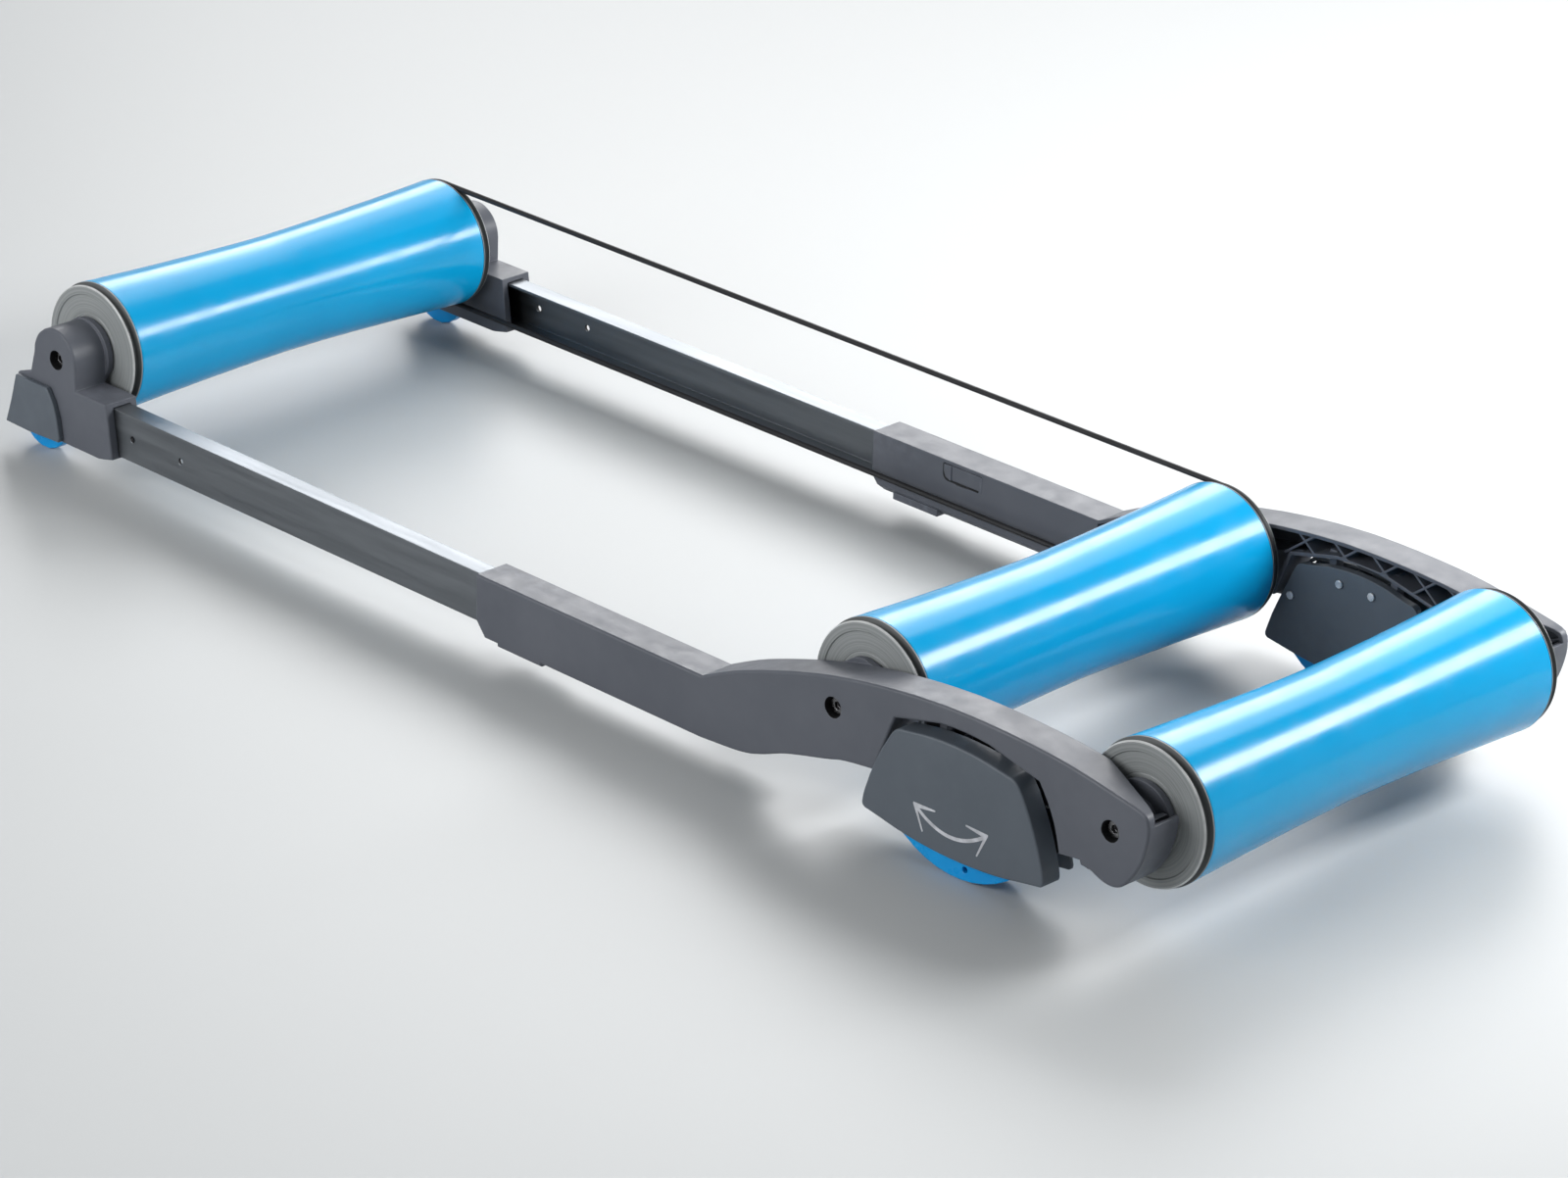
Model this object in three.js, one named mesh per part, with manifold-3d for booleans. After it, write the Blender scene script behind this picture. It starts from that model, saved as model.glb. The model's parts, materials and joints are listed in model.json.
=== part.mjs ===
import * as THREE from 'three';
import { mergeVertices } from 'three/addons/utils/BufferGeometryUtils.js';
import Module from 'manifold-3d';

// Bike rollers: a folding training stand in which a bicycle runs on three waisted drums.
// Millimetres, +Z up, +X towards the rider's back, +Y the rider's right.
// The origin is on the floor under the middle of the stand.

const wasm = await Module();
wasm.setup();

// Driving sizes
const frontToMiddle = 877.3;
const middleToRear = 263.65;
const drumEndRadius = 55;
const drumWaist = 6;
const drumHalf = 186.6;
const drumWall = 3;
const axleRadius = 5;
const rockerRadius = 88;
const noseReach = 61.7;
const armWidth = 31.5;
const armSkin = 4;
const flangeWall = 3;
const clearance = 0.3;
const overrun = 1;
const fullTurn = Math.PI * 2;

// Round pieces are turned with these counts
const fineSides = 20;
const midSides = 12;
const smallSides = 8;
const flareSides = 16;

// Places along the stand, measured at the axles
const overallLength = noseReach + frontToMiddle + middleToRear + drumEndRadius;
const rearX = overallLength / 2 - drumEndRadius;
const middleX = rearX - middleToRear;
const frontX = middleX - frontToMiddle;
const axleHeight = rockerRadius;

// Layers across the stand, counted outwards from its middle plane
const capReach = 8.46;
const runningGap = 0.44;
const bossDepth = 5;
const foldGap = 0.5;
const footSkin = 2.5;
const railWall = 2.5;
const glideHeight = 4;
const coverStand = 5;
const coverWall = 3;
const skirtDepth = 18;
const capFace = drumHalf + capReach;
const bossFace = capFace + runningGap;
const armInner = bossFace + bossDepth;
const armOuter = armInner + armWidth;
const webInner = armOuter - armSkin;
const railOuter = webInner - glideHeight;
const plateInner = armInner + foldGap;
const plateOuter = plateInner + footSkin;
const flangeInner = plateOuter + foldGap;
const flangeOuter = flangeInner + footSkin;
const railInner = flangeOuter + foldGap;
const coverOuter = armOuter + coverStand;
const coverInner = coverOuter - coverWall;
const skirtInner = coverOuter - skirtDepth;

// Rails
const railDrop = 24.5;
const railHeight = 40;
const railHole = 5.6;
const railPitch = 60;
const railHead = 9.3;
const railTail = 235;
const railTop = -railDrop;
const railBottom = railTop - railHeight;
const railMiddle = (railTop + railBottom) / 2;

// Sleeve that each rail slides in
const sleeveBack = 133;
const sleeveLength = 242;
const sleeveRoof = 2.7;
const sleeveFloor = 3.5;
const glideRise = 2.7;
const ribWall = 2;
const sleeveTop = railTop + clearance + sleeveRoof;
const sleeveBottom = railBottom - clearance - glideRise - sleeveFloor;
const sleeveFront = -sleeveBack - sleeveLength;

// Swing foot under each arm, measured from a point level with the axles
const footPlaceShare = 0.4665;
const footX = middleToRear * footPlaceShare;
const footTopHalf = 57;
const footTop = 10;
const plateBaseHalf = 86;
const plateBase = 62;
const plateTopRise = 7.5;
const plateBaseRise = 7;
const plateCorner = 8;
const coverBaseHalf = 88.5;
const coverBase = 63.5;
const coverTopRise = 5;
const coverBaseRise = 9;
const coverCorner = 7;
const coverBow = 3.2;
const skirtWall = 2.4;
const pivotDrop = 15;
const pivotRadius = 3.5;
const pivotBoss = 7;
const postSpread = 15.5;
const postRise = 5;
const postRadius = 4.5;
const earSpread = 61;
const earDrop = 19;
const screwRadius = 1.5;
const screwHead = 3.4;
const headHeight = 1.6;

// Arm's opening over the swing foot
const archFrontTop = 63;
const archFrontFoot = 81;
const archRearTop = 74;
const archRearFoot = 95;
const archRearKnee = 90;
const archKneeDrop = 8;
const archTop = 25;
const archCorner = 13;
const archFoot = 34;

// Bosses and bolts at every axle
const bossRadius = 16;
const bossFlare = 28;
const boltRadius = 4;
const boltHead = 6.5;
const boltHeadDepth = 5;
const boltRecess = 8;
const boltRecessDepth = 10;
const seatWall = 4;
const boltReach = 14;

const blue = { color: 0x0c96d2, roughness: 0.25, metalness: 0 };
const plastic = { color: 0x4e5258, roughness: 0.6, metalness: 0 };
const capGrey = { color: 0x6e7272, roughness: 0.45, metalness: 0 };
const railGrey = { color: 0x9a9d9f, roughness: 0.35, metalness: 0.9 };
const steel = { color: 0xb8babc, roughness: 0.3, metalness: 1 };
const rubber = { color: 0x1c1d1f, roughness: 0.7, metalness: 0 };

// A closed surface with shared corners and its faces pointing out
function closed(geometry) {
  const bare = geometry.index ? geometry.clone() : geometry;
  bare.deleteAttribute('normal');
  bare.deleteAttribute('uv');
  const merged = mergeVertices(bare);
  const p = merged.attributes.position;
  const index = merged.index.array;
  const kept = [];
  let volume = 0;
  for (let i = 0; i < index.length; i += 3) {
    const [a, b, c] = [index[i], index[i + 1], index[i + 2]];
    if (a === b || b === c || c === a) continue;
    const u = new THREE.Vector3().fromBufferAttribute(p, a);
    const v = new THREE.Vector3().fromBufferAttribute(p, b);
    const w = new THREE.Vector3().fromBufferAttribute(p, c);
    volume += u.dot(v.cross(w));
    kept.push(a, b, c);
  }
  if (volume < 0) kept.reverse();
  merged.setIndex(kept);
  return merged;
}

// Solids are joined and cut, then turned back into a surface
function solid(geometry) {
  const g = closed(geometry);
  return new wasm.Manifold(new wasm.Mesh({
    numProp: 3,
    vertProperties: new Float32Array(g.attributes.position.array),
    triVerts: new Uint32Array(g.index.array),
  }));
}

function joined(...solids) {
  return solids.reduce((whole, next) => whole.add(next));
}

function cut(body, ...tools) {
  return tools.reduce((rest, tool) => rest.subtract(tool), body);
}

function surface(body) {
  const m = body.getMesh();
  const g = new THREE.BufferGeometry();
  g.setAttribute('position', new THREE.BufferAttribute(new Float32Array(m.vertProperties), 3));
  g.setIndex(new THREE.BufferAttribute(new Uint32Array(m.triVerts), 1));
  return g;
}

// Side profile pushed across the stand from the layer low to the layer high
function slab(points, low, high) {
  const shape = points.isShape ? points : new THREE.Shape(points);
  const g = new THREE.ExtrudeGeometry(shape, { depth: high - low, bevelEnabled: false });
  g.rotateX(Math.PI / 2);
  g.translate(0, high, 0);
  return solid(g);
}

function block(x0, x1, y0, y1, z0, z1) {
  const g = new THREE.BoxGeometry(x1 - x0, y1 - y0, z1 - z0);
  g.translate((x0 + x1) / 2, (y0 + y1) / 2, (z0 + z1) / 2);
  return solid(g);
}

function rod(radius, low, high, x, z, sides) {
  const g = new THREE.CylinderGeometry(radius, radius, high - low, sides);
  g.translate(x, (low + high) / 2, z);
  return solid(g);
}

// A wheel of flat facets that stands with one facet level on the floor
const facetedRadius = (radius, sides) => radius / Math.cos(Math.PI / sides);

function standingDisc(radius, low, high, sides) {
  const round = facetedRadius(radius, sides);
  const g = new THREE.CylinderGeometry(round, round, high - low, sides);
  g.rotateY(Math.PI / sides);
  g.translate(0, (low + high) / 2, 0);
  return solid(g);
}

function ring(inner, outer, low, high, sides) {
  return cut(rod(outer, low, high, 0, 0, sides), rod(inner, low - overrun, high + overrun, 0, 0, sides));
}

// Corner points of a side profile
const at = (x, z) => new THREE.Vector2(x, z);

function corners(shape, steps) {
  const points = shape.getPoints(steps);
  return points.filter((p, i) => p.distanceTo(points[(i + 1) % points.length]) > clearance / 10);
}

// The same profile drawn in by one wall
function drawnIn(points, wall) {
  const turn = THREE.ShapeUtils.isClockWise(points) ? -wall : wall;
  return points.map((p, i) => {
    const before = p.clone().sub(points[(i + points.length - 1) % points.length]).normalize();
    const after = points[(i + 1) % points.length].clone().sub(p).normalize();
    const n = at(-before.y - after.y, before.x + after.x).normalize();
    const reach = turn / (n.x * -before.y + n.y * before.x);
    return p.clone().addScaledVector(n, reach);
  });
}

function moved(points, x, z) {
  return points.map((p) => at(p.x + x, p.y + z));
}

function strut(a, b, wall, low, high) {
  const side = b.clone().sub(a).normalize().multiplyScalar(wall / 2);
  const n = at(-side.y, side.x);
  return slab([a.clone().sub(n), b.clone().sub(n), b.clone().add(n), a.clone().add(n)], low, high);
}

function mirrored(geometry) {
  const g = geometry.clone();
  g.scale(1, -1, 1);
  g.setIndex(Array.from(g.index.array).reverse());
  return g;
}

const stand = new THREE.Group();
const rearFrame = new THREE.Group();
const frontFrame = new THREE.Group();
const rearAxle = new THREE.Group();
const footGroup = new THREE.Group();
rearFrame.position.set(middleX, 0, axleHeight);
frontFrame.position.set(frontX, 0, axleHeight);
rearAxle.position.set(middleToRear, 0, 0);
footGroup.position.set(footX, 0, 0);
rearFrame.add(rearAxle, footGroup);
stand.add(rearFrame, frontFrame);

function place(group, name, body, look) {
  const geometry = body.isBufferGeometry ? body : surface(body);
  geometry.computeVertexNormals();
  const mesh = new THREE.Mesh(geometry, new THREE.MeshStandardMaterial(look));
  mesh.name = name;
  group.add(mesh);
}

// A piece of the right side and its mirror image on the left
function pair(group, name, body, look) {
  const geometry = body.isBufferGeometry ? body : surface(body);
  place(group, `${name}_right`, geometry, look);
  place(group, `${name}_left`, mirrored(geometry), look);
}

// Drum shell: a tube drawn in towards its middle
const waistPower = 1.5;
const shellStations = 6;
const boreStations = 2;
const drumRadiusAt = (y) => drumEndRadius - drumWaist * (1 - Math.pow(Math.abs(y) / drumHalf, waistPower));

function drumShell() {
  const profile = [];
  for (let i = 0; i <= shellStations; i += 1) {
    const y = drumHalf * (2 * i / shellStations - 1);
    profile.push(at(drumRadiusAt(y), y));
  }
  for (let i = boreStations; i >= 0; i -= 1) {
    const y = drumHalf * (2 * i / boreStations - 1);
    profile.push(at(drumRadiusAt(y) - drumWall, y));
  }
  profile.push(profile[0]);
  return closed(new THREE.LatheGeometry(profile, fineSides));
}

// Cap in each drum end: a spigot in the shell, a belt groove, a stepped face and a hub
const spigotDepth = 14;
const spigotWall = 3;
const ridge = 0.8;
const cordRadius = 2.25;
const grooveMouth = 3;
const grooveFloor = 1.8;
const grooveDepth = 5;
const capRim = 1.4;
const fieldStep = 0.9;
const fieldRing = 8;
const bearingRadius = 13;
const bearingWidth = 8;
const capLip = 2.4;
const shaftHole = axleRadius + 1;
const cordLayer = drumHalf + clearance + ridge + grooveMouth;

function drumCap() {
  const spigotEnd = drumHalf - spigotDepth;
  const spigotRadius = drumRadiusAt(spigotEnd) - drumWall - clearance;
  const rimRadius = drumEndRadius - capRim;
  const ledge = drumHalf + clearance;
  const field = capFace - fieldStep;
  const seat = capFace - capLip - bearingWidth;
  const profile = [
    at(shaftHole, field), at(rimRadius - fieldRing, field), at(rimRadius - fieldRing + fieldStep, capFace),
    at(rimRadius, capFace - fieldStep), at(rimRadius, cordLayer + grooveMouth),
    at(drumEndRadius - grooveDepth, cordLayer + grooveFloor),
    at(drumEndRadius - grooveDepth, cordLayer - grooveFloor), at(drumEndRadius, cordLayer - grooveMouth),
    at(drumEndRadius, ledge), at(spigotRadius, ledge), at(spigotRadius, spigotEnd),
    at(spigotRadius - spigotWall, spigotEnd),
    at(bearingRadius + clearance, seat), at(bearingRadius + clearance, capFace - capLip),
    at(shaftHole, capFace - capLip),
  ];
  profile.push(profile[0]);
  return closed(new THREE.LatheGeometry(profile, fineSides));
}

function bearing() {
  const top = capFace - capLip - clearance;
  return ring(axleRadius + clearance, bearingRadius, top - bearingWidth, top, midSides);
}

// Axle from boss to boss, bored at both ends for its bolts
const axleEnd = armOuter - boltRecessDepth - seatWall - clearance;

function axle() {
  const bore = boltRadius + clearance;
  return cut(
    rod(axleRadius, -axleEnd, axleEnd, 0, 0, smallSides),
    rod(bore, axleEnd - boltReach, axleEnd + overrun, 0, 0, smallSides),
    rod(bore, -axleEnd - overrun, -axleEnd + boltReach, 0, 0, smallSides),
  );
}

// Socket-head bolt that ends below the arm's face
const socketRadius = 3.2;
const socketDepth = 3;

function axleBolt() {
  const seat = armOuter - boltRecessDepth + clearance;
  const top = seat + boltHeadDepth;
  return cut(
    joined(
      rod(boltHead, seat, top, 0, 0, midSides),
      rod(boltRadius, axleEnd - boltReach + overrun, seat + overrun, 0, 0, smallSides),
    ),
    rod(socketRadius, top - socketDepth, top + overrun, 0, 0, 6),
  );
}

function boss(x) {
  return joined(
    rod(bossRadius, armInner - overrun, armOuter - overrun, x, 0, midSides),
    rod(bossFlare, bossFace, armInner + clearance, x, 0, flareSides),
  );
}

function boltWay(x) {
  return [
    rod(axleRadius + clearance, bossFace - overrun, axleEnd + clearance, x, 0, midSides),
    rod(boltRadius + clearance, axleEnd, armOuter, x, 0, smallSides),
    rod(boltRecess, armOuter - boltRecessDepth, armOuter + overrun, x, 0, midSides),
  ];
}

// Rail: a channel open towards the middle, with holes for the two lengths and the folded place
const railStart = -frontToMiddle + railHead;
const lockInset = 64;
const lockPlace = sleeveFront + lockInset;
const holeSteps = [0, 1, -7, -8];

function rail() {
  const hollow = block(railStart - overrun, -railTail + overrun, railInner - overrun, railOuter - railWall,
    railBottom + railWall, railTop - railWall);
  const holes = holeSteps.map((n) => rod(
    railHole / 2, railInner, railOuter + overrun, lockPlace + n * railPitch, railMiddle, smallSides,
  ));
  return cut(block(railStart, -railTail, railInner, railOuter, railBottom, railTop), hollow, ...holes);
}

// Arm outline: shares of the arm's length and rise, of the tail's radius and of the underside
const crownRise = 61.7;
const tailReach = 33.35;
const tailRadius = 41;
const chinLength = 10;
const chinHeight = 12;
const sleeveWall = 3;
const sleeveEdge = 5;
const padStart = 24;
const padLength = 49;
const padDrop = 2.5;
const foldTravel = 7 * railPitch;
const passSpare = 5;
const crownShares = [[0.1, 0.31], [0.27, 0.68], [0.43, 0.89], [0.6, 0.985], [0.8, 0.94], [0.97, 0.76]];
const tailShares = [
  [0.78, 0.5], [0.82, 0.1], [0.65, -0.475], [0.3, -0.93], [-0.05, -1], [-0.43, -0.87], [-0.6, -0.85],
];
const stepShares = [-0.63, -0.77];
const underShares = [[0.17, 0.11], [0.28, 0.25], [0.5, 0.52], [0.72, 0.88], [1, 1]];
const profileSteps = 3;

function armOutline() {
  const span = sleeveBack + middleToRear + tailReach;
  const heel = footX - archFrontFoot;
  const crown = crownShares.map(([s, r]) => at(s * span - sleeveBack, sleeveTop + r * crownRise));
  const tail = tailShares.map(([s, r]) => at(middleToRear + s * tailRadius, r * tailRadius));
  const under = underShares.map(([s, r]) => at(
    heel - s * (heel + sleeveBack),
    r * (sleeveBottom + archFoot) - archFoot,
  ));
  const shape = new THREE.Shape();
  shape.moveTo(sleeveFront, sleeveTop);
  shape.lineTo(-sleeveBack, sleeveTop);
  shape.splineThru(crown);
  shape.splineThru(tail);
  shape.lineTo(middleToRear + stepShares[0] * tailRadius, stepShares[1] * tailRadius);
  shape.lineTo(footX + archRearFoot, -archFoot);
  shape.quadraticCurveTo(footX + archRearKnee, -archKneeDrop, footX + archRearTop, archCorner);
  shape.quadraticCurveTo(footX, 2 * archTop - archCorner, footX - archFrontTop, archCorner);
  shape.lineTo(heel, -archFoot);
  shape.splineThru(under);
  shape.lineTo(sleeveFront + chinLength, sleeveBottom);
  shape.lineTo(sleeveFront, sleeveBottom + chinHeight);
  return corners(shape, profileSteps);
}

// Stiffening ribs: crossed struts over the arch and a fan round each boss
const crossCount = 4;
const crossStartShare = 0.2;
const crossPitchShare = 0.145;
const crossReach = 30;
const fanReach = 70;
const fanSink = 4;
const middleFanShares = [0.04, 0.17, 0.3, 0.41, 0.5, 0.6];
const rearFanShares = [0.08, 0.25, 0.42, 0.55, 0.75, 0.92];

function armRibs() {
  const ribs = [];
  for (let i = 0; i < crossCount; i += 1) {
    const x0 = middleToRear * (crossStartShare + i * crossPitchShare);
    const x1 = x0 + middleToRear * crossPitchShare;
    ribs.push(strut(at(x0, archCorner), at(x1, archCorner + crossReach), ribWall, armInner, webInner));
    ribs.push(strut(at(x0, archCorner + crossReach), at(x1, archCorner), ribWall, armInner, webInner));
  }
  const fan = (x, shares) => shares.forEach((s) => {
    const tip = at(x + fanReach * Math.cos(s * fullTurn), fanReach * Math.sin(s * fullTurn));
    ribs.push(strut(at(x, 0), tip, ribWall, armInner + fanSink, webInner + overrun));
  });
  fan(0, middleFanShares);
  fan(middleToRear, rearFanShares);
  return joined(...ribs);
}

// Hanger under the arch that carries the swing foot's pivot
const hangerHalf = 33;
const hangerLeg = 7;
const hangerDepth = 9;
const hangerCorner = 6.5;
const barRise = 6;
const hangerMiddle = (railInner + skirtInner) / 2;
const hangerFoot = -railDrop + 2 * foldGap;

function hanger() {
  const top = archTop + overrun;
  const low = hangerMiddle - hangerDepth / 2;
  const inside = hangerHalf - hangerLeg;
  const barTop = barRise - pivotDrop;
  const outline = [
    at(-hangerHalf, top), at(-hangerHalf, hangerFoot + hangerCorner),
    at(hangerCorner - hangerHalf, hangerFoot), at(hangerHalf - hangerCorner, hangerFoot),
    at(hangerHalf, hangerFoot + hangerCorner), at(hangerHalf, top),
    at(inside, top), at(inside, barTop), at(-inside, barTop), at(-inside, top),
  ];
  const hole = rod(
    pivotRadius + clearance, low - overrun, low + hangerDepth + overrun, footX, -pivotDrop, midSides,
  );
  return cut(slab(moved(outline, footX, 0), low, low + hangerDepth), hole);
}

// Lock tongue in the sleeve's inner wall, with a stud that drops into the rail's holes
const tongueRoot = 54;
const tongueTip = 15;
const tongueDrop = 12.5;
const tongueGap = 0.8;
const tongueCornerShares = [[0, 0.5], [0.15, 0.15], [0.5, 0]];
const thumbRise = 1;
const thumbLength = 8;
const catchLead = 5.5;
const catchDrop = 5;
const catchFoot = 6;
const catchWall = 2.4;
const studRadius = 2.2;
const studOffset = 0.65;
const studGap = 0.3;
const rootX = lockPlace + tongueRoot;
const tipX = lockPlace + tongueTip;
const tongueTop = railTop - clearance;

function tongueOutline(spread) {
  const rounded = tongueCornerShares.map(([s, r]) => at(
    tipX - spread + s * tongueDrop,
    tongueTop - tongueDrop - spread + r * tongueDrop,
  ));
  const top = tongueTop + Math.min(spread, clearance);
  return [at(tipX - spread, top), ...rounded, at(rootX + spread, tongueTop - tongueDrop - spread),
    at(rootX + spread, top)];
}

function lockTongue() {
  const face = armInner + sleeveWall;
  const body = slab(tongueOutline(0), armInner, face);
  const front = block(tipX, tipX + thumbLength, armInner - thumbRise, armInner + overrun,
    tongueTop - tongueDrop, tongueTop);
  const thumb = front.intersect(slab(tongueOutline(0), armInner - thumbRise, armInner + overrun));
  const catchTop = face + clearance + catchWall;
  const catchBar = block(
    lockPlace - catchLead, rootX - catchLead, face + clearance, catchTop,
    railMiddle - catchFoot, railTop - catchDrop,
  );
  const neck = block(
    tipX + tongueDrop / 2, rootX - catchLead, face - overrun, face + 2 * clearance,
    tongueTop - tongueDrop, railTop - catchDrop,
  );
  const reach = railOuter - railWall - studGap;
  const stud = rod(studRadius, catchTop - overrun, reach, lockPlace - studOffset, railMiddle, smallSides);
  return joined(body, thumb, neck, catchBar, stud);
}

// Sleeve: a box round the rail, which slides on low ribs inside it
const ribPlaceShares = [0.25, 0.75];

function sleeveHollow() {
  const bottom = sleeveBottom + sleeveFloor;
  const roof = railTop + clearance;
  const inner = armInner + sleeveWall;
  const room = block(sleeveFront - overrun, -sleeveBack + overrun, inner, webInner, bottom, roof);
  const depth = railOuter - railInner;
  const ribs = ribPlaceShares.flatMap((s) => {
    const y = railInner + s * depth - ribWall / 2;
    const z = railBottom + s * railHeight;
    return [
      block(sleeveFront, -sleeveBack, y, y + ribWall, bottom - overrun, railBottom - clearance),
      block(
        sleeveFront, -sleeveBack, railOuter + clearance, webInner + overrun,
        z - ribWall / 2, z + ribWall / 2,
      ),
    ];
  });
  const high = railTop - ribWall;
  const low = railBottom + ribWall;
  ribs.push(block(sleeveFront, -sleeveBack, inner - overrun, railInner - clearance, high - ribWall, high));
  ribs.push(block(sleeveFront, -sleeveBack, inner - overrun, railInner - clearance, low, low + ribWall));
  return cut(room, ...ribs);
}

// The crown's inner edge runs outwards over the tail
const trimLead = 32;
const trimReach = 45;
const trimDepth = 29;
const trimFoot = 14;

function tailTrim() {
  const points = [at(-trimLead, -overrun), at(trimReach, -overrun), at(trimReach, trimDepth)];
  const g = new THREE.ExtrudeGeometry(new THREE.Shape(points), { depth: crownRise, bevelEnabled: false });
  g.translate(middleToRear, armInner, trimFoot);
  return solid(g);
}

function arm() {
  const outline = armOutline();
  const body = slab(outline, armInner, armOuter);
  const ahead = block(sleeveFront - overrun, -sleeveBack, 0, coverOuter, -axleHeight, axleHeight);
  const pocket = cut(slab(drawnIn(outline, flangeWall), armInner - overrun, webInner), ahead);
  const edge = sleeveEdge * Math.SQRT2;
  const bevelGeometry = new THREE.BoxGeometry(2 * sleeveLength, edge, edge);
  bevelGeometry.rotateX(Math.PI / 4);
  bevelGeometry.translate(sleeveFront, armInner, sleeveBottom);
  const bevel = solid(bevelGeometry);
  const pad = block(sleeveFront + padStart, sleeveFront + padStart + padLength, armInner, armOuter,
    sleeveBottom - padDrop, sleeveBottom + sleeveFloor);
  const pass = block(-sleeveBack, foldTravel - railTail + passSpare, armInner - overrun, railOuter + foldGap,
    railBottom - foldGap, railTop + clearance);
  const slot = slab(tongueOutline(tongueGap), armInner - overrun, railInner);
  const trimmed = cut(body, tailTrim());
  const shell = cut(trimmed, pocket, bevel);
  const filled = joined(shell, armRibs().intersect(trimmed), pad, hanger(), boss(0), boss(middleToRear));
  return cut(filled, sleeveHollow(), pass, slot, ...boltWay(0), ...boltWay(middleToRear));
}

// Swing foot outline, with bowed edges and rounded corners
function footOutline({ topRise, baseHalf, base, baseRise, corner, bow }) {
  const c = corner;
  const lean = (baseHalf - footTopHalf) / (footTop + base);
  const sideX = (footTopHalf + baseHalf) / 2 + 2 * bow;
  const sideZ = (footTop - base) / 2 + 2 * bow * lean;
  const topLean = (sideX - footTopHalf) / (footTop - sideZ);
  const baseLean = (baseHalf - sideX) / (sideZ + base);
  const shape = new THREE.Shape();
  const side = (turn, x, z) => (
    bow ? shape.quadraticCurveTo(turn * sideX, sideZ, x, z) : shape.lineTo(x, z)
  );
  shape.moveTo(c - footTopHalf, footTop);
  shape.quadraticCurveTo(0, footTop + 2 * topRise, footTopHalf - c, footTop);
  shape.quadraticCurveTo(footTopHalf, footTop, footTopHalf + topLean * c, footTop - c);
  side(1, baseHalf - baseLean * c, c - base);
  shape.quadraticCurveTo(baseHalf, -base, baseHalf - c, -base);
  shape.quadraticCurveTo(0, -base - 2 * baseRise, c - baseHalf, -base);
  shape.quadraticCurveTo(-baseHalf, -base, baseLean * c - baseHalf, c - base);
  side(-1, -footTopHalf - topLean * c, footTop - c);
  shape.quadraticCurveTo(-footTopHalf, footTop, c - footTopHalf, footTop);
  return corners(shape, profileSteps + 1);
}

const coverOutline = footOutline({
  topRise: coverTopRise, baseHalf: coverBaseHalf, base: coverBase, baseRise: coverBaseRise,
  corner: coverCorner, bow: coverBow,
});
const plateOutline = footOutline({
  topRise: plateTopRise, baseHalf: plateBaseHalf, base: plateBase, baseRise: plateBaseRise,
  corner: plateCorner, bow: 0,
});

function posts(radius, low, high) {
  return [-postSpread, postSpread].map((x) => rod(radius, low, high, x, postRise, smallSides));
}

const postEnd = plateOuter + clearance;
const pivotSeat = 4.7;

function footCover() {
  const inside = drawnIn(coverOutline, skirtWall);
  const pocket = slab(inside, skirtInner - overrun, coverInner);
  const mouth = slab(moved(inside, 0, -skirtWall - overrun), skirtInner - overrun, coverInner);
  const frontLip = block(-coverBaseHalf - coverBow, coverCorner - footTopHalf, skirtInner - overrun,
    armOuter + foldGap, -axleHeight, footTop - plateCorner);
  const shell = cut(slab(coverOutline, skirtInner, coverOuter), pocket, mouth, frontLip);
  const seat = rod(pivotBoss, coverInner - pivotSeat, coverInner + overrun, 0, -pivotDrop, midSides);
  const hole = rod(pivotRadius + clearance, skirtInner, coverInner - clearance, 0, -pivotDrop, midSides);
  const bores = posts(screwRadius + clearance, postEnd - overrun, skirtInner);
  return cut(joined(shell, seat, ...posts(postRadius, postEnd, coverInner + overrun)), hole, ...bores);
}

const pinSkin = 1.2;
const rimWall = 2.2;
const rimDepth = 4.2;

function footPlate() {
  const top = railInner - clearance;
  const seat = rod(pivotBoss, plateOuter - overrun, top, 0, -pivotDrop, midSides);
  const hole = rod(pivotRadius + clearance, plateInner + pinSkin, top + overrun, 0, -pivotDrop, midSides);
  const ears = [-earSpread, earSpread].map((x) => rod(screwRadius + clearance, plateInner - overrun,
    plateOuter + overrun, x, -earDrop, smallSides));
  const bores = posts(screwRadius + clearance, plateInner - overrun, plateOuter + overrun);
  const above = block(-footTopHalf, footTopHalf, plateInner, plateOuter + rimDepth, 0, axleHeight);
  const inside = slab(drawnIn(plateOutline, rimWall), plateInner, plateOuter + rimDepth + overrun);
  const rim = cut(slab(plateOutline, plateOuter - overrun, plateOuter + rimDepth).intersect(above), inside);
  return cut(joined(slab(plateOutline, plateInner, plateOuter), rim, seat), hole, ...ears, ...bores);
}

// Rocker: two cheeks joined by a round tread that stands on the floor
const treadWall = 4;
const treadHalf = 42;
const outerCheek = 6;
const cheekTop = 46;
const cheekInset = 3;
const stemHalf = 10.5;
const ribSpread = 20;
const ribTop = 73;
const inspectX = 10;
const inspectDrop = 79;
const inspectRadius = 2.5;
const rockerSides = 48;

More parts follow.
